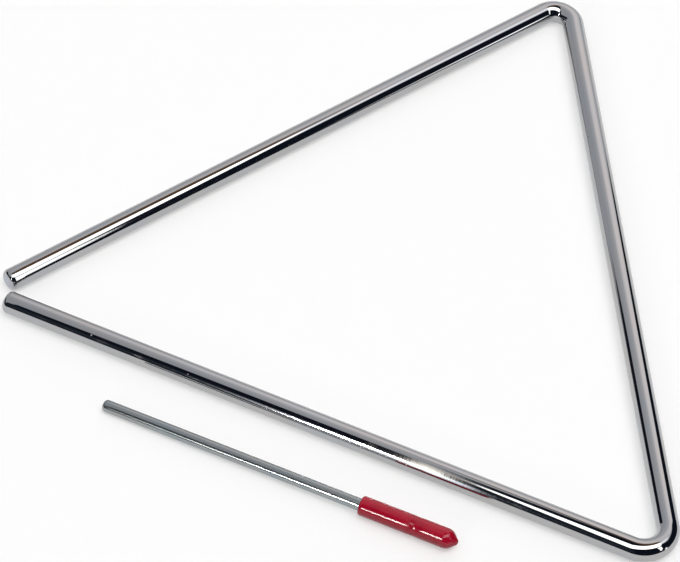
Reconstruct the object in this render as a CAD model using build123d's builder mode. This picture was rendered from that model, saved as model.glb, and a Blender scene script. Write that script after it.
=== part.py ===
from build123d import *
import os
from math import asin, atan2, cos, hypot, radians, sin, tan

# A triangle and its beater, lying on a table.
# The triangle is one steel rod, bent twice and left open at the third corner so that it rings.
# The beater is a thinner steel rod, the shank, with a vinyl grip stretched over one end.
#
# Lengths are in millimetres and angles in degrees. X runs from the open corner to the closed side, Y runs
# along the closed side and Z points up from the table. The origin lies on the table, under the middle of the
# triangle.

# Triangle rod
overall_side = 254.0  # outside length of the closed side, ten inches
rod_diameter = 7.94  # five sixteenths of an inch
open_corner_angle = 60.0
top_bend_inside_radius = 3.1  # the corner that the triangle hangs from
lower_bend_inside_radius = 4.9
open_gap = 1.6  # between the rims of the two cut ends, before they are rounded
lower_leg_extra = 1.0  # the lower leg is cut longer than the upper one by this much
end_round = 2.0

# Beater shank
beater_length = 131.5  # from the grip's nose to the shank's tip
shank_diameter = 4.37  # eleven sixty-fourths of an inch
shank_tip_round = 1.5

# Beater grip, which is a little thicker at the nose, where the soft vinyl sagged as it set
grip_length = 35.5
grip_rim_diameter = 6.9
grip_nose_diameter = 7.1
grip_rim_round = 0.9
grip_mouth_round = 0.2
grip_end_wall = 4.5  # vinyl between the shank's end and the outside of the nose
nose_flat_diameter = 1.2
nose_half_angle = 45.0
nose_shoulder_round = 4.0
nose_tip_round = 1.0

# Where the beater lies: outside the lower leg and parallel to it
beater_clear_gap = 16.5  # between the lower leg and the grip
beater_tip_station = 58.0  # along the lower leg, from the open corner to the shank's tip

# The triangle's axis lines: a bend takes its cut off each straight beside it
half_open_corner = radians(open_corner_angle / 2)
half_bent_corner = radians((180 - open_corner_angle) / 4)
rod_radius = rod_diameter / 2
top_bend = top_bend_inside_radius + rod_radius
lower_bend = lower_bend_inside_radius + rod_radius
top_cut = top_bend / tan(half_bent_corner)
lower_cut = lower_bend / tan(half_bent_corner)
axis_side = overall_side - rod_diameter + top_cut - top_bend + lower_cut - lower_bend
leg_run = axis_side / 2 / tan(half_open_corner)
mean_setback = (open_gap / 2 + rod_radius * cos(half_open_corner)) / sin(half_open_corner)
upper_setback = mean_setback + lower_leg_extra / 2
lower_setback = mean_setback - lower_leg_extra / 2

# The triangle's outer faces, measured from the open corner of its axis lines
left_face = (
    (min(upper_setback, lower_setback) + end_round) * cos(half_open_corner)
    - (rod_radius - end_round) * sin(half_open_corner)
    - end_round
)
right_face = leg_run + rod_radius
top_face = axis_side / 2 - top_cut + top_bend + rod_radius
lower_face = lower_cut - axis_side / 2 - lower_bend - rod_radius

open_corner = Vector(-(left_face + right_face) / 2, -(top_face + lower_face) / 2, rod_radius)
top_corner = open_corner + Vector(leg_run, axis_side / 2)
lower_corner = open_corner + Vector(leg_run, -axis_side / 2)
along_upper_leg = (top_corner - open_corner).normalized()
along_lower_leg = (lower_corner - open_corner).normalized()
upper_end = open_corner + along_upper_leg * upper_setback
lower_end = open_corner + along_lower_leg * lower_setback

# The beater's own outline, in stations along its axis from the nose and radii from that axis
shank_radius = shank_diameter / 2
rim_radius = grip_rim_diameter / 2
nose_radius = grip_nose_diameter / 2
nose_flat_radius = nose_flat_diameter / 2
nose_length = (nose_radius - nose_flat_radius) / tan(radians(nose_half_angle))
grip_flare = (nose_radius - rim_radius) / (grip_length - nose_length)

# The beater stands on the roundings of the grip's rim and the shank's tip, so its axis leans towards the tip
# by the angle of the straight line that touches both. The rim's rounding touches the flared side of the grip.
rim_centre_station = grip_length - grip_rim_round
tip_centre_station = beater_length - shank_tip_round
rim_centre_radius = rim_radius + grip_rim_round * (grip_flare - hypot(1, grip_flare))
tip_centre_radius = shank_radius - shank_tip_round
centres_run = tip_centre_station - rim_centre_station
centres_drop = rim_centre_radius - tip_centre_radius
round_difference = grip_rim_round - shank_tip_round
lean = atan2(centres_drop, centres_run) + asin(round_difference / hypot(centres_run, centres_drop))
nose_height = grip_rim_round + rim_centre_station * sin(lean) + rim_centre_radius * cos(lean)

# The beater's axis, from the middle of the nose to the tip
away_from_leg = Vector(along_lower_leg.Y, -along_lower_leg.X)
beater_offset = rod_radius + beater_clear_gap + nose_radius
nose_station = beater_tip_station + beater_length * cos(lean)
nose_middle = (
    Vector(open_corner.X, open_corner.Y)
    + along_lower_leg * nose_station
    + away_from_leg * beater_offset
    + Vector(0, 0, nose_height)
)
towards_tip = along_lower_leg * -cos(lean) + Vector(0, 0, -sin(lean))
beater_plane = Plane(origin=nose_middle, x_dir=towards_tip, z_dir=away_from_leg)
beater_axis = Axis(nose_middle, towards_tip)

os.makedirs("parts", exist_ok=True)

# Triangle rod: a round bar along two bends, its cut ends rounded over
with BuildPart() as triangle_rod:
    with BuildLine() as bent_axis:
        FilletPolyline(upper_end, top_corner, lower_corner, lower_end, radius=[top_bend, lower_bend])
    with BuildSketch(Plane(origin=bent_axis.line @ 0, z_dir=bent_axis.line % 0)):
        Circle(rod_radius)
    sweep()
    cut_ends = triangle_rod.edges().filter_by(GeomType.CIRCLE).sort_by(Axis.X)[:2]
    fillet(cut_ends, end_round)
triangle_rod.part.label = "triangle_rod"
export_step(triangle_rod.part, "parts/triangle_rod.step")

# Beater shank: a straight bar, cut square inside the grip and rounded at the tip that strikes
with BuildPart() as beater_shank:
    with BuildSketch(beater_plane):
        with BuildLine():
            shank_outline = FilletPolyline(
                (grip_end_wall, 0),
                (grip_end_wall, shank_radius),
                (beater_length, shank_radius),
                (beater_length, 0),
                radius=[0, shank_tip_round],
            )
            Line(shank_outline @ 1, shank_outline @ 0)
        make_face()
    revolve(axis=beater_axis)
beater_shank.part.label = "beater_shank"
export_step(beater_shank.part, "parts/beater_shank.step")

# Beater grip: a vinyl sleeve with a blunt cone for a nose, and a blind bore that the shank fills
with BuildPart() as beater_grip:
    with BuildSketch(beater_plane):
        with BuildLine():
            grip_outline = FilletPolyline(
                (grip_end_wall, 0),
                (grip_end_wall, shank_radius),
                (grip_length, shank_radius),
                (grip_length, rim_radius),
                (nose_length, nose_radius),
                (0, nose_flat_radius),
                (0, 0),
                radius=[0, grip_mouth_round, grip_rim_round, nose_shoulder_round, nose_tip_round],
            )
            Line(grip_outline @ 1, grip_outline @ 0)
        make_face()
    revolve(axis=beater_axis)
beater_grip.part.label = "beater_grip"
export_step(beater_grip.part, "parts/beater_grip.step")
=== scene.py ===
from math import acos, asin, atan2, ceil, cos, exp, hypot, pi, radians, sin, sqrt, tan

import bpy
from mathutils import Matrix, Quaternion, Vector


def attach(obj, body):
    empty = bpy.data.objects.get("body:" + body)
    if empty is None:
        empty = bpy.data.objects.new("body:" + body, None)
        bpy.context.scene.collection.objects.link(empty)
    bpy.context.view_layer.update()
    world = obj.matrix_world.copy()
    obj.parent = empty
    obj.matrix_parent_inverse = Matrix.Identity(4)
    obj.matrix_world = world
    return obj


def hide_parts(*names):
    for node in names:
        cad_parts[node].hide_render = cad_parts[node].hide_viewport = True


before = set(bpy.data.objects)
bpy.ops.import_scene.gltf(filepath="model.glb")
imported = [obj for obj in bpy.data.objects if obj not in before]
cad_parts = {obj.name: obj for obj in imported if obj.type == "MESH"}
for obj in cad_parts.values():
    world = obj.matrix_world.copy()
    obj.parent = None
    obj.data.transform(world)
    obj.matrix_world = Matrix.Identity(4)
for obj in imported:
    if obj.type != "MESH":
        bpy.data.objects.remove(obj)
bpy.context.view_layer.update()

# Triangle rod
# One round steel bar, cold bent at two corners and left open at the third, so that it rings when it hangs.
# It is ground round, polished and chrome plated, and its two cut ends are rounded over.
overall_side = 0.254
rod_diameter = 0.00794
corner_angle = radians(60)
top_bend_inside_radius = 0.0031
lower_bend_inside_radius = 0.0049
open_gap = 0.0016
lower_leg_extra = 0.001
end_round = 0.002
rod_sides = 96
leg_ring_spacing = 0.004
bend_ring_spacing = 0.0004
round_steps = 10

# Patterns are sized in cells along a metre of the bar and cells round it
chrome_cool = (0.415, 0.425, 0.44)
chrome_warm = (0.435, 0.43, 0.43)
cloud_cells = (45, 1.5)
cloud_span = (0.35, 0.65)
smudge_cells = (120, 5)
smudge_span = (0.5, 0.75)
smudge_roughness = (0.03, 0.085)
dust_cells = (300, 9)
dust_size = 0.13
dust_rarity = 0.85
dust_roughness = (0, 0.4)
grinding_cells = (1400, 3)
grinding_depth = 0.0000012
wave_cells = (60, 4)
wave_depth = 0.000012
cut_face_tint = (0.40, 0.42, 0.48)
cut_face_depth = end_round / 8
cut_face_roughness = (0, 0.22)

half_corner = corner_angle / 2
bend_turn = pi - corner_angle
rod_radius = rod_diameter / 2
top_bend = top_bend_inside_radius + rod_radius
lower_bend = lower_bend_inside_radius + rod_radius
top_cut = top_bend / tan(half_corner)
lower_cut = lower_bend / tan(half_corner)
axis_side = overall_side - rod_diameter + top_cut - top_bend + lower_cut - lower_bend
leg_run = axis_side * cos(half_corner)
mean_setback = (open_gap / 2 + rod_radius * cos(half_corner)) / sin(half_corner)
upper_setback = mean_setback + lower_leg_extra / 2
lower_setback = mean_setback - lower_leg_extra / 2

left_face = (min(upper_setback, lower_setback) + end_round) * cos(half_corner) - end_round
left_face -= (rod_radius - end_round) * sin(half_corner)
right_face = leg_run + rod_radius
top_face = axis_side / 2 - top_cut + top_bend + rod_radius
lower_face = lower_cut - axis_side / 2 - lower_bend - rod_radius
open_corner = Vector((-(left_face + right_face) / 2, -(top_face + lower_face) / 2, rod_radius))
closed_side = open_corner + Vector((leg_run, 0, 0))
along_upper_leg = Vector((cos(half_corner), sin(half_corner), 0))
along_lower_leg = Vector((cos(half_corner), -sin(half_corner), 0))
along_closed_side = Vector((0, -1, 0))
upwards = Vector((0, 0, 1))

upper_end = open_corner + along_upper_leg * upper_setback
lower_end = open_corner + along_lower_leg * lower_setback
top_bend_centre = closed_side + Vector((-top_bend, axis_side / 2 - top_cut, 0))
lower_bend_centre = closed_side + Vector((-lower_bend, lower_cut - axis_side / 2, 0))
closed_side_start = top_bend_centre + Vector((top_bend, 0, 0))
top_bend_start = axis_side - upper_setback - top_cut
top_bend_stop = top_bend_start + top_bend * bend_turn
lower_bend_start = top_bend_stop + axis_side - top_cut - lower_cut
lower_bend_stop = lower_bend_start + lower_bend * bend_turn
rod_length = lower_bend_stop + axis_side - lower_setback - lower_cut


def on_bend(centre, radius, angle):
    """The point of a bend at an angle from the X axis, and the way the bar heads there, clockwise."""
    outwards = Vector((cos(angle), sin(angle), 0))
    return centre + outwards * radius, outwards.cross(upwards)


def along_rod(run):
    """The point of the bar's middle line at a run from the upper cut end, and the way it heads there."""
    if run < top_bend_start:
        return upper_end + along_upper_leg * run, along_upper_leg
    if run < top_bend_stop:
        return on_bend(top_bend_centre, top_bend, bend_turn - (run - top_bend_start) / top_bend)
    if run < lower_bend_start:
        return closed_side_start + along_closed_side * (run - top_bend_stop), along_closed_side
    if run < lower_bend_stop:
        return on_bend(lower_bend_centre, lower_bend, (lower_bend_start - run) / lower_bend)
    return lower_end + along_lower_leg * (rod_length - run), -along_lower_leg


def spaced(start, stop, spacing):
    """Even steps from a start up to, and not including, a stop."""
    count = max(1, ceil((stop - start) / spacing))
    return [start + (stop - start) * step / count for step in range(count)]


def rounded_outline(corners):
    """Half the outline of a round piece: (run, radius, rounding) corners become points with arcs."""
    outline = []
    for number, (run, radius, rounding) in enumerate(corners):
        if not rounding:
            outline.append((run, radius))
            continue
        here = Vector((run, radius))
        back = (Vector(corners[number - 1][:2]) - here).normalized()
        onward = (Vector(corners[number + 1][:2]) - here).normalized()
        half_angle = acos(back.dot(onward)) / 2
        centre = here + (back + onward).normalized() * (rounding / sin(half_angle))
        spread = pi / 2 - half_angle
        inwards = (here - centre).normalized()
        sideways = Vector((-inwards.y, inwards.x))
        if sideways.dot(onward) < 0:
            sideways = -sideways
        for step in range(round_steps + 1):
            angle = spread * (2 * step / round_steps - 1)
            outline.append(tuple(centre + (inwards * cos(angle) + sideways * sin(angle)) * rounding))
    return outline


def ring(centre, heading, radius, sides):
    """A circle of points across a heading, from the lowest one on, so that the seam faces the table."""
    across = heading.cross(upwards).normalized()
    rise = across.cross(heading)
    turns = [2 * pi * side / sides for side in range(sides)]
    return [centre + (across * sin(turn) - rise * cos(turn)) * radius for turn in turns]


def skin(name, rings, runs):
    """A closed mesh over a row of rings, with a map of the run along the piece and the turn round it."""
    sides = len(rings[0])
    points = [point for each in rings for point in each]
    faces = []
    for row in range(len(rings) - 1):
        near = row * sides
        far = near + sides
        for side in range(sides):
            following = (side + 1) % sides
            faces.append((near + side, near + following, far + following, far + side))
    faces.append(tuple(reversed(range(sides))))
    faces.append(tuple(range(len(points) - sides, len(points))))
    mesh = bpy.data.meshes.new(name)
    mesh.from_pydata(points, [], faces)
    mesh.shade_smooth()
    layer = mesh.uv_layers.new(name="run_and_turn")
    for face in mesh.polygons:
        sides_used = [mesh.loops[loop].vertex_index % sides for loop in face.loop_indices]
        over_seam = len(sides_used) == 4 and sides - 1 in sides_used
        for loop, side in zip(face.loop_indices, sides_used):
            row = mesh.loops[loop].vertex_index // sides
            layer.data[loop].uv = (runs[row], 1 if over_seam and side == 0 else side / sides)
    piece = bpy.data.objects.new(name, mesh)
    bpy.context.scene.collection.objects.link(piece)
    return piece


rod_corners = [
    (0, 0, 0),
    (0, rod_radius, end_round),
    (rod_length, rod_radius, end_round),
    (rod_length, 0, 0),
]
end_points = rounded_outline(rod_corners)[1:-1]
upper_round = end_points[:round_steps + 1]
lower_round = end_points[round_steps + 1:]
rod_runs = spaced(end_round, top_bend_start, leg_ring_spacing)[1:]
rod_runs += spaced(top_bend_start, top_bend_stop, bend_ring_spacing)
rod_runs += spaced(top_bend_stop, lower_bend_start, leg_ring_spacing)
rod_runs += spaced(lower_bend_start, lower_bend_stop, bend_ring_spacing)
rod_runs += spaced(lower_bend_stop, rod_length - end_round, leg_ring_spacing)
rod_outline = upper_round + [(run, rod_radius) for run in rod_runs] + lower_round
rod_rings = [ring(*along_rod(run), radius, rod_sides) for run, radius in rod_outline]
triangle_rod = skin("triangle_chrome_bar", rod_rings, [run for run, radius in rod_outline])


class Finish:
    """A material under work: its shader, and short ways to add patterns to it."""

    def __init__(self, name, metallic):
        self.material = bpy.data.materials.new(name)
        self.material.use_nodes = True
        self.nodes = self.material.node_tree.nodes
        self.links = self.material.node_tree.links
        self.shader = self.nodes["Principled BSDF"]
        self.shader.inputs["Metallic"].default_value = metallic

    def place(self):
        """The piece's map of run and turn."""
        node = self.nodes.new("ShaderNodeUVMap")
        node.uv_map = "run_and_turn"
        return node.outputs["UV"]

    def stretched(self, cells):
        """The map scaled for a pattern of so many cells in a metre along the piece and so many round it."""
        scaled = self.nodes.new("ShaderNodeMapping")
        scaled.inputs["Scale"].default_value = (*cells, 1)
        self.links.new(self.place(), scaled.inputs["Vector"])
        return scaled.outputs["Vector"]

    def noise(self, cells, detail):
        """Cloudy noise of a cell size."""
        noise = self.nodes.new("ShaderNodeTexNoise")
        noise.inputs["Scale"].default_value = 1
        noise.inputs["Detail"].default_value = detail
        self.links.new(self.stretched(cells), noise.inputs["Vector"])
        return noise.outputs["Fac"]

    def graded(self, source, span, values=(0, 1)):
        """A smooth change from one value to another as the source passes over a span."""
        grade = self.nodes.new("ShaderNodeMapRange")
        grade.interpolation_type = "SMOOTHSTEP"
        for socket, value in zip(("From Min", "From Max", "To Min", "To Max"), (*span, *values)):
            grade.inputs[socket].default_value = value
        self.links.new(source, grade.inputs["Value"])
        return grade.outputs["Result"]

    def joined(self, operation, first, second):
        """Two values joined by one step of arithmetic."""
        node = self.nodes.new("ShaderNodeMath")
        node.operation = operation
        self.links.new(first, node.inputs[0])
        self.links.new(second, node.inputs[1])
        return node.outputs["Value"]

    def specks(self, cells, size, rarity, shade_step=0.02):
        """Sparse small spots, 1 on a spot and 0 beside it, in cells whose random shade passes a rarity."""
        pattern = self.nodes.new("ShaderNodeTexVoronoi")
        pattern.inputs["Scale"].default_value = 1
        self.links.new(self.stretched(cells), pattern.inputs["Vector"])
        shade = self.nodes.new("ShaderNodeSeparateColor")
        self.links.new(pattern.outputs["Color"], shade.inputs["Color"])
        chosen = self.graded(shade.outputs["Red"], (rarity, rarity + shade_step))
        near = self.graded(pattern.outputs["Distance"], (size / 2, size), (1, 0))
        return self.joined("MULTIPLY", chosen, near)

    def blended(self, share, colour_without, colour_with):
        """A colour that changes with a share between 0 and 1."""
        node = self.nodes.new("ShaderNodeMix")
        node.data_type = "RGBA"
        self.links.new(share, node.inputs["Factor"])
        for socket, colour in ((node.inputs[6], colour_without), (node.inputs[7], colour_with)):
            if isinstance(colour, tuple):
                socket.default_value = (*colour, 1)
            else:
                self.links.new(colour, socket)
        return node.outputs[2]

    def raised(self, height, depth, under=None):
        """Relief of a depth in metres, on top of other relief."""
        bump = self.nodes.new("ShaderNodeBump")
        bump.inputs["Distance"].default_value = depth
        self.links.new(height, bump.inputs["Height"])
        if under:
            self.links.new(under, bump.inputs["Normal"])
        return bump.outputs["Normal"]

    def set(self, socket, source):
        """Joins a pattern to one of the shader's sockets."""
        self.links.new(source, self.shader.inputs[socket])


chrome = Finish("chrome_plate", metallic=1)
map_axes = chrome.nodes.new("ShaderNodeSeparateXYZ")
chrome.links.new(chrome.place(), map_axes.inputs["Vector"])
place_along = map_axes.outputs["X"]
upper_cut_face = chrome.graded(place_along, (0, cut_face_depth), (1, 0))
lower_cut_face = chrome.graded(place_along, (rod_length - cut_face_depth, rod_length))
cut_face = chrome.joined("MAXIMUM", upper_cut_face, lower_cut_face)
clouds = chrome.graded(chrome.noise(cloud_cells, detail=3), cloud_span)
plate_tint = chrome.blended(clouds, chrome_cool, chrome_warm)
chrome.set("Base Color", chrome.blended(cut_face, plate_tint, cut_face_tint))
smudges = chrome.graded(chrome.noise(smudge_cells, detail=5), smudge_span, smudge_roughness)
dust = chrome.graded(chrome.specks(dust_cells, dust_size, dust_rarity), (0, 1), dust_roughness)
bar_roughness = chrome.joined("MAXIMUM", smudges, dust)
end_roughness = chrome.graded(cut_face, (0, 1), cut_face_roughness)
chrome.set("Roughness", chrome.joined("MAXIMUM", bar_roughness, end_roughness))
grinding = chrome.raised(chrome.noise(grinding_cells, detail=4), grinding_depth)
chrome.set("Normal", chrome.raised(chrome.noise(wave_cells, detail=2), wave_depth, grinding))
triangle_rod.data.materials.append(chrome.material)
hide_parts("triangle_rod")
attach(triangle_rod, "triangle")

# Beater shank
# A straight, thinner steel rod, drawn and bright plated, that strikes the triangle with its rounded tip.
# Its other end is cut square and pushed into the grip. The beater leans, because the grip is the thicker.
beater_length = 0.1315
shank_diameter = 0.00437
shank_tip_round = 0.0015
grip_length = 0.0355
grip_rim_diameter = 0.0069
grip_nose_diameter = 0.0071
grip_rim_round = 0.0009
grip_end_wall = 0.0045
nose_flat_diameter = 0.0012
nose_half_angle = radians(45)
beater_clear_gap = 0.0165
beater_tip_station = 0.058
shank_sides = 72
shank_ring_spacing = 0.002

plate_cool = (0.30, 0.335, 0.35)
plate_warm = (0.33, 0.345, 0.345)
plate_cloud_cells = (70, 2)
plate_cloud_span = (0.35, 0.65)
plate_haze_cells = (60, 3)
plate_haze_span = (0.3, 0.75)
plate_roughness = (0.13, 0.15)
drawn_line_cells = (14, 60)
drawn_line_depth = 0.000001
plate_grain_cells = (900, 4)
plate_grain_depth = 0.0000004

shank_radius = shank_diameter / 2
rim_radius = grip_rim_diameter / 2
nose_radius = grip_nose_diameter / 2
nose_flat_radius = nose_flat_diameter / 2
nose_length = (nose_radius - nose_flat_radius) / tan(nose_half_angle)
grip_flare = (nose_radius - rim_radius) / (grip_length - nose_length)
rim_centre_station = grip_length - grip_rim_round
rim_centre_radius = rim_radius + grip_rim_round * (grip_flare - hypot(1, grip_flare))
centres_run = beater_length - shank_tip_round - rim_centre_station
centres_drop = rim_centre_radius - (shank_radius - shank_tip_round)
round_difference = grip_rim_round - shank_tip_round
lean = atan2(centres_drop, centres_run) + asin(round_difference / hypot(centres_run, centres_drop))
nose_height = grip_rim_round + rim_centre_station * sin(lean) + rim_centre_radius * cos(lean)
away_from_leg = along_lower_leg.cross(upwards)
nose_middle = open_corner + along_lower_leg * (beater_tip_station + beater_length * cos(lean))
nose_middle += away_from_leg * (rod_radius + beater_clear_gap + nose_radius)
nose_middle.z = nose_height
towards_tip = -along_lower_leg * cos(lean) - upwards * sin(lean)


def turned(name, outline, sides):
    """A closed round piece on the beater's axis, from (station, radius) points."""
    rings = []
    for station, radius in outline:
        rings.append(ring(nose_middle + towards_tip * station, towards_tip, radius, sides))
    return skin(name, rings, [station for station, radius in outline])


tip_corners = [
    (grip_end_wall, shank_radius, 0),
    (beater_length, shank_radius, shank_tip_round),
    (beater_length, 0, 0),
]
tip_round = rounded_outline(tip_corners)[1:-1]
shank_stations = spaced(grip_end_wall, beater_length - shank_tip_round, shank_ring_spacing)
shank_outline = [(station, shank_radius) for station in shank_stations] + tip_round
beater_shank = turned("beater_plated_shank", shank_outline, shank_sides)

plating = Finish("bright_shank_plating", metallic=1)
plate_clouds = plating.graded(plating.noise(plate_cloud_cells, detail=3), plate_cloud_span)
plating.set("Base Color", plating.blended(plate_clouds, plate_cool, plate_warm))
plate_haze = plating.noise(plate_haze_cells, detail=2)
plating.set("Roughness", plating.graded(plate_haze, plate_haze_span, plate_roughness))
drawn_lines = plating.raised(plating.noise(drawn_line_cells, detail=4), drawn_line_depth)
plate_grain = plating.noise(plate_grain_cells, detail=2)
plating.set("Normal", plating.raised(plate_grain, plate_grain_depth, drawn_lines))
beater_shank.data.materials.append(plating.material)
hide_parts("beater_shank")
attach(beater_shank, "beater")

# Beater grip
# A soft red vinyl sleeve, moulded glossy with a blunt cone for a nose, and a little thicker there.
# It is stretched over the shank's end, which fills its blind bore, and a finger has pressed a dent in it.
grip_mouth_round = 0.0002
nose_shoulder_round = 0.004
nose_tip_round = 0.001
dent_station = 0.0150
dent_length = 0.0016
dent_depth = 0.00006
grip_sides = 96
grip_ring_spacing = 0.0005

vinyl_red = (0.42, 0.005, 0.026)
vinyl_deep = (0.35, 0.004, 0.02)
vinyl_gloss = 0.4
vinyl_cloud_cells = (140, 3)
vinyl_cloud_span = (0.4, 0.7)
vinyl_haze_cells = (300, 8)
vinyl_haze_span = (0.35, 0.7)
vinyl_roughness = (0.05, 0.1)
pebble_cells = (1300, 28)
pebble_depth = 0.000004
vinyl_wave_cells = (180, 4)
vinyl_wave_depth = 0.00002

grip_corners = [
    (0, 0, 0),
    (0, nose_flat_radius, nose_tip_round),
    (nose_length, nose_radius, nose_shoulder_round),
    (grip_length, rim_radius, grip_rim_round),
    (grip_length, shank_radius, grip_mouth_round),
    (grip_end_wall, shank_radius, 0),
]
grip_outline = rounded_outline(grip_corners)[1:]
side_begins = 2 * (round_steps + 1)
side_start = grip_outline[side_begins - 1]
side_stop = grip_outline[side_begins]
side_points = []
for station in spaced(side_start[0], side_stop[0], grip_ring_spacing)[1:]:
    dent = dent_depth * exp(-((station - dent_station) / dent_length) ** 2)
    side_points.append((station, nose_radius - grip_flare * (station - nose_length) - dent))
grip_outline = grip_outline[:side_begins] + side_points + grip_outline[side_begins:]
beater_grip = turned("beater_vinyl_grip", grip_outline, grip_sides)

vinyl = Finish("red_vinyl", metallic=0)
vinyl.shader.inputs["Specular IOR Level"].default_value = vinyl_gloss
vinyl_clouds = vinyl.graded(vinyl.noise(vinyl_cloud_cells, detail=4), vinyl_cloud_span)
vinyl.set("Base Color", vinyl.blended(vinyl_clouds, vinyl_red, vinyl_deep))
vinyl_haze = vinyl.noise(vinyl_haze_cells, detail=4)
vinyl.set("Roughness", vinyl.graded(vinyl_haze, vinyl_haze_span, vinyl_roughness))
pebbles = vinyl.raised(vinyl.noise(pebble_cells, detail=2), pebble_depth)
vinyl.set("Normal", vinyl.raised(vinyl.noise(vinyl_wave_cells, detail=1), vinyl_wave_depth, pebbles))
beater_grip.data.materials.append(vinyl.material)
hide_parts("beater_grip")
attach(beater_grip, "beater")

# Floor
# A wide sheet of white paper that the triangle and its beater lie on.
# Its own glow makes up what the lamps leave short of white, and the shadows stay on it.
floor_reach = 30
floor_drop = 0.00005
paper_white = (0.62, 0.62, 0.62, 1)
paper_roughness = 0.9
paper_glow_tint = (1, 1, 1, 1)
paper_glow = 0.425

floor_corners = [
    (-floor_reach, -floor_reach, -floor_drop),
    (floor_reach, -floor_reach, -floor_drop),
    (floor_reach, floor_reach, -floor_drop),
    (-floor_reach, floor_reach, -floor_drop),
]
floor_mesh = bpy.data.meshes.new("paper_floor")
floor_mesh.from_pydata(floor_corners, [], [(0, 1, 2, 3)])
floor = bpy.data.objects.new("paper_floor", floor_mesh)
bpy.context.scene.collection.objects.link(floor)
paper = Finish("white_paper", metallic=0)
paper.shader.inputs["Base Color"].default_value = paper_white
paper.shader.inputs["Roughness"].default_value = paper_roughness
paper.shader.inputs["Specular IOR Level"].default_value = 0
paper.shader.inputs["Emission Color"].default_value = paper_glow_tint
rays = paper.nodes.new("ShaderNodeLightPath")
seen = paper.joined("MAXIMUM", rays.outputs["Is Camera Ray"], rays.outputs["Is Glossy Ray"])
seen = paper.joined("MAXIMUM", seen, rays.outputs["Is Transmission Ray"])
paper.set("Emission Strength", paper.graded(seen, (0, 1), (0, paper_glow)))
floor_mesh.materials.append(paper.material)

# Light
# A studio drawn on the sky, since chrome shows only what it mirrors: a white ceiling with a softbox between
# dark flaps, dark walls at the sides and small lights low in front. The strip lamp is a real lamp.
dark_room = (0.008, 0.011, 0.02)

# Places on the sky are in degrees, round from the X axis and up from the table
ceiling_front_edge = ((-7, 56), (212, 46.7))
ceiling_softness = (-0.015, 0.025)
ceiling_dim = (0.55, 0.565, 0.60)
ceiling_middle = (0.70, 0.71, 0.735)
ceiling_bright = (1.27, 1.18, 1.17)
ceiling_glow = (1.66, 1.68, 1.74)
bright_corner = (58, 40)
middle_span = (0.55, 0.95)
bright_span = (0.86, 1.02)
glow_corner = (13, 62)
glow_span = (0.972, 0.998)

wall_softness = (-0.008, 0.008)
left_wall_edge = ((141.2, 10), (138.6, 21))
left_wall_top = (0.44, 0.48)
right_wall_edge = ((40.2, 6), (44, 33))
right_wall_top = (0.70, 0.76)

gap_corners = [(173.3, 80.3), (211.1, 46.9), (237.7, 41.7), (236.3, 79.8)]
gap_softness = 0.012
left_flap_corners = [(207.3, 71.9), (107.9, 76.3), (75.8, 63.9), (33.7, 70.2)]
left_flap_softness = 0.012
right_flap_corners = [(79.4, 67.9), (81.4, 56.3), (76.5, 55.6), (49, 63), (27.6, 64.6), (21.8, 74.9)]
right_flap_softness = 0.03
right_flap_brown = (0.16, 0.09, 0.05)
softbox_left_corners = [(199.4, 78.6), (207.3, 71.9), (219.9, 60.7), (229.2, 47.2)]
softbox_right_corners = [(-26.6, 52.4), (-16.9, 55.4), (14.5, 64.8), (23, 67.4), (26.6, 70.4)]
softbox_softness = 0.01
softbox_light = (3.95, 3.92, 3.85)
front_lamp_corners = [(-29.2, 47.5), (-37, 26), (-41, 16), (-46, 15), (-42, 51)]
front_lamp_softness = 0.006
front_lamp_light = (2.5, 2.5, 2.45)

# An oval is its middle as a share of a leg's direction, half its width, and then the same two in height
front_softness = (-0.01, 0.01)
front_wall_oval = (-0.2, 0.5, 0.4, 0.3)
front_wall_dim = (0.035, 0.045, 0.06)
low_strip_oval = (-0.185, 0.07, 0.34, 0.34)
low_strip_end = (-0.178, -0.165)
low_strip_light = (2.2, 2.3, 2.45)
halo_oval = (-0.181, 0.012, 0.9, 0.35)
halo_light = (0.8, 0.75, 0.7)
tall_arc_oval = (-0.1845, 0.009, 0.5, 0.6)
tall_arc_light = (4, 3.85, 3.5)
cove_span = (0.015, 0.04)
cove_light = (0.8, 0.8, 0.8)
right_softness = (0, 0.1)
low_window_oval = (0.49, 0.08, 0.14, 0.15)
low_window_light = (3.5, 3.5, 3.6)

strip_lamp_along = -0.206
strip_lamp_rise = 0.42
strip_lamp_width = 0.0155
strip_lamp_height = 0.22
strip_lamp_distance = 40
strip_lamp_brightness = 85
strip_lamp_tint = (1, 0.98, 0.94)

world = bpy.data.worlds.new("studio")
bpy.context.scene.world = world
world.use_nodes = True
sky = world.node_tree
sky_place = sky.nodes.new("ShaderNodeTexCoord").outputs["Generated"]
sky_axes = sky.nodes.new("ShaderNodeSeparateXYZ")
sky.links.new(sky_place, sky_axes.inputs["Vector"])
sky_height = sky_axes.outputs["Z"]


def towards(place):
    """The direction of a place on the sky."""
    azimuth, elevation = [radians(angle) for angle in place]
    return Vector((cos(elevation) * cos(azimuth), cos(elevation) * sin(azimuth), sin(elevation)))


def sums(operation, first, second=0):
    """One step of arithmetic on the sky, on sockets or plain numbers."""
    node = sky.nodes.new("ShaderNodeMath")
    node.operation = operation
    for socket, value in zip(node.inputs, (first, second)):
        if isinstance(value, (int, float)):
            socket.default_value = value
        else:
            sky.links.new(value, socket)
    return node.outputs["Value"]


def facing(direction):
    """How nearly each point of the sky lies in a direction: 1 there, 0 square to it."""
    node = sky.nodes.new("ShaderNodeVectorMath")
    node.operation = "DOT_PRODUCT"
    node.inputs[1].default_value = direction
    sky.links.new(sky_place, node.inputs[0])
    return node.outputs["Value"]


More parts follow.
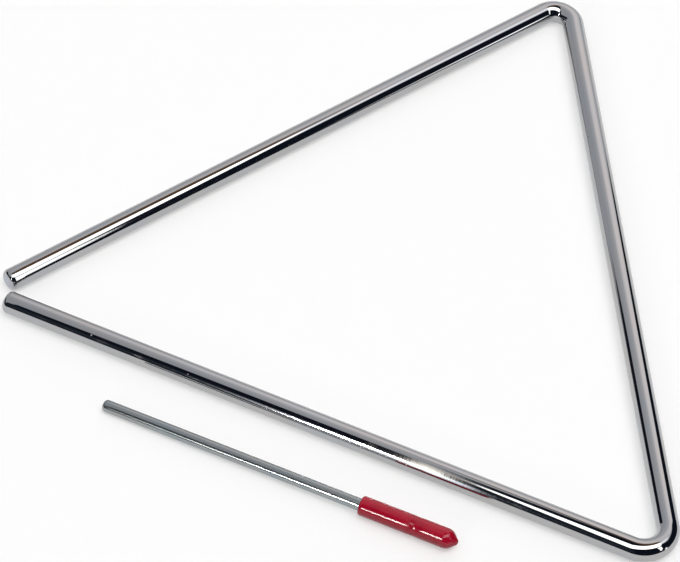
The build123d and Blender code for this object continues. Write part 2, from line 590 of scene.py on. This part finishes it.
def rising(value, span):
    """A smooth change from 0 to 1 as a value passes over a span."""
    node = sky.nodes.new("ShaderNodeMapRange")
    node.interpolation_type = "SMOOTHSTEP"
    node.inputs["From Min"].default_value = span[0]
    node.inputs["From Max"].default_value = span[1]
    sky.links.new(value, node.inputs["Value"])
    return node.outputs["Result"]


def falling(value, span):
    """A smooth change from 1 to 0 as a value passes over a span."""
    return sums("SUBTRACT", 1, rising(value, span))


def beside(edge):
    """How far each point of the sky lies to one side of a straight edge through two places."""
    return facing(towards(edge[0]).cross(towards(edge[1])).normalized())


def panel(places, softness):
    """1 inside a flat panel with corners at these places, with edges that are soft over so many radians."""
    corners = [towards(place) for place in places]
    middle = sum(corners, Vector())
    inside = None
    for first, second in zip(corners, corners[1:] + corners[:1]):
        side = first.cross(second).normalized()
        if side.dot(middle) < 0:
            side = -side
        past_side = rising(facing(side), (-softness, softness))
        inside = sums("MULTIPLY", inside, past_side) if inside else past_side
    return inside


def oval(direction, middle, half_width, middle_height, half_height):
    """A soft oval light: 1 in its middle, placed by the share of a direction and by height."""
    across = sums("DIVIDE", sums("SUBTRACT", facing(direction), middle), half_width)
    up = sums("DIVIDE", sums("SUBTRACT", sky_height, middle_height), half_height)
    apart = sums("SQRT", sums("ADD", sums("MULTIPLY", across, across), sums("MULTIPLY", up, up)))
    return falling(apart, (0, 1))


def covered(under, share, colour):
    """One light laid over another."""
    node = sky.nodes.new("ShaderNodeMix")
    node.data_type = "RGBA"
    sky.links.new(share, node.inputs["Factor"])
    for socket, value in ((node.inputs[6], under), (node.inputs[7], colour)):
        if isinstance(value, tuple):
            socket.default_value = (*value, 1)
        else:
            sky.links.new(value, socket)
    return node.outputs[2]


past_left_edge = falling(beside(left_wall_edge), wall_softness)
left_wall = sums("MULTIPLY", past_left_edge, falling(sky_height, left_wall_top))
past_right_edge = rising(beside(right_wall_edge), wall_softness)
right_wall = sums("MULTIPLY", past_right_edge, falling(sky_height, right_wall_top))
between_walls = sums("SUBTRACT", 1, sums("MAXIMUM", left_wall, right_wall))
ceiling = sums("MULTIPLY", falling(beside(ceiling_front_edge), ceiling_softness), between_walls)
towards_bright = facing(towards(bright_corner))
ceiling_tone = covered(ceiling_dim, rising(towards_bright, middle_span), ceiling_middle)
ceiling_tone = covered(ceiling_tone, rising(towards_bright, bright_span), ceiling_bright)
ceiling_tone = covered(ceiling_tone, rising(facing(towards(glow_corner)), glow_span), ceiling_glow)
light = covered(dark_room, ceiling, ceiling_tone)

light = covered(light, panel(gap_corners, gap_softness), dark_room)
light = covered(light, panel(left_flap_corners, left_flap_softness), dark_room)
light = covered(light, panel(right_flap_corners, right_flap_softness), right_flap_brown)
softbox = panel(softbox_left_corners + softbox_right_corners, softbox_softness)
light = covered(light, softbox, softbox_light)
light = covered(light, panel(front_lamp_corners, front_lamp_softness), front_lamp_light)

in_front = falling(facing(Vector((0, 1, 0))), front_softness)
front_wall = sums("MULTIPLY", oval(along_lower_leg, *front_wall_oval), in_front)
light = covered(light, front_wall, front_wall_dim)
low_strip = sums("MULTIPLY", oval(along_lower_leg, *low_strip_oval), in_front)
low_strip = sums("MULTIPLY", low_strip, falling(facing(along_lower_leg), low_strip_end))
light = covered(light, low_strip, low_strip_light)
halo = sums("MULTIPLY", oval(along_lower_leg, *halo_oval), in_front)
light = covered(light, halo, halo_light)
tall_arc = sums("MULTIPLY", oval(along_lower_leg, *tall_arc_oval), in_front)
light = covered(light, tall_arc, tall_arc_light)

light = covered(light, falling(sky_height, cove_span), cove_light)
to_right = rising(facing(Vector((1, 0, 0))), right_softness)
low_window = sums("MULTIPLY", oval(along_upper_leg, *low_window_oval), sums("MULTIPLY", to_right, in_front))
light = covered(light, low_window, low_window_light)
sky.links.new(light, sky.nodes["Background"].inputs["Color"])

strip_lamp_forward = sqrt(1 - strip_lamp_along ** 2 - strip_lamp_rise ** 2)
strip_lamp_direction = along_lower_leg * strip_lamp_along + away_from_leg * strip_lamp_forward
strip_lamp_direction += upwards * strip_lamp_rise
strip_lamp_data = bpy.data.lights.new("strip_lamp", "AREA")
strip_lamp_data.shape = "RECTANGLE"
strip_lamp_data.size = strip_lamp_width * strip_lamp_distance
strip_lamp_data.size_y = strip_lamp_height * strip_lamp_distance
strip_lamp_data.energy = strip_lamp_brightness * pi * strip_lamp_data.size * strip_lamp_data.size_y
strip_lamp_data.color = strip_lamp_tint
strip_lamp = bpy.data.objects.new("strip_lamp", strip_lamp_data)
strip_lamp.location = strip_lamp_direction * strip_lamp_distance
strip_lamp.rotation_mode = "QUATERNION"
strip_lamp.rotation_quaternion = (-strip_lamp_direction).to_track_quat("-Z", "Y")
bpy.context.scene.collection.objects.link(strip_lamp)

# Camera
# A long lens that looks down at the triangle from the front.
# Its angles are round from the front, up from the table and about the line of sight.
# The place that it looks at, from the open corner, and its distance are in sides of the triangle.
view_round = radians(-9.35)
view_up = radians(50.61)
view_roll = radians(-4.8)
looked_at_sides = Vector((0.4808, -0.0064, 0))
distance_sides = 5.001
picture_width = 680
focal_pixels = 3677.2
sensor_width = 36
farthest_view = 100

looked_at = open_corner + looked_at_sides * axis_side
view_distance = distance_sides * axis_side
camera_data = bpy.data.cameras.new("camera")
camera_data.sensor_width = sensor_width
camera_data.lens = focal_pixels / picture_width * sensor_width
camera_data.clip_end = farthest_view
camera = bpy.data.objects.new("camera", camera_data)
towards_camera = Vector((sin(view_round) * cos(view_up), -cos(view_round) * cos(view_up), sin(view_up)))
camera.location = looked_at + towards_camera * view_distance
camera.rotation_mode = "QUATERNION"
level_view = (-towards_camera).to_track_quat("-Z", "Y")
camera.rotation_quaternion = level_view @ Quaternion((0, 0, 1), -view_roll)
bpy.context.scene.collection.objects.link(camera)
bpy.context.scene.camera = camera
bpy.context.scene.view_settings.view_transform = "Standard"
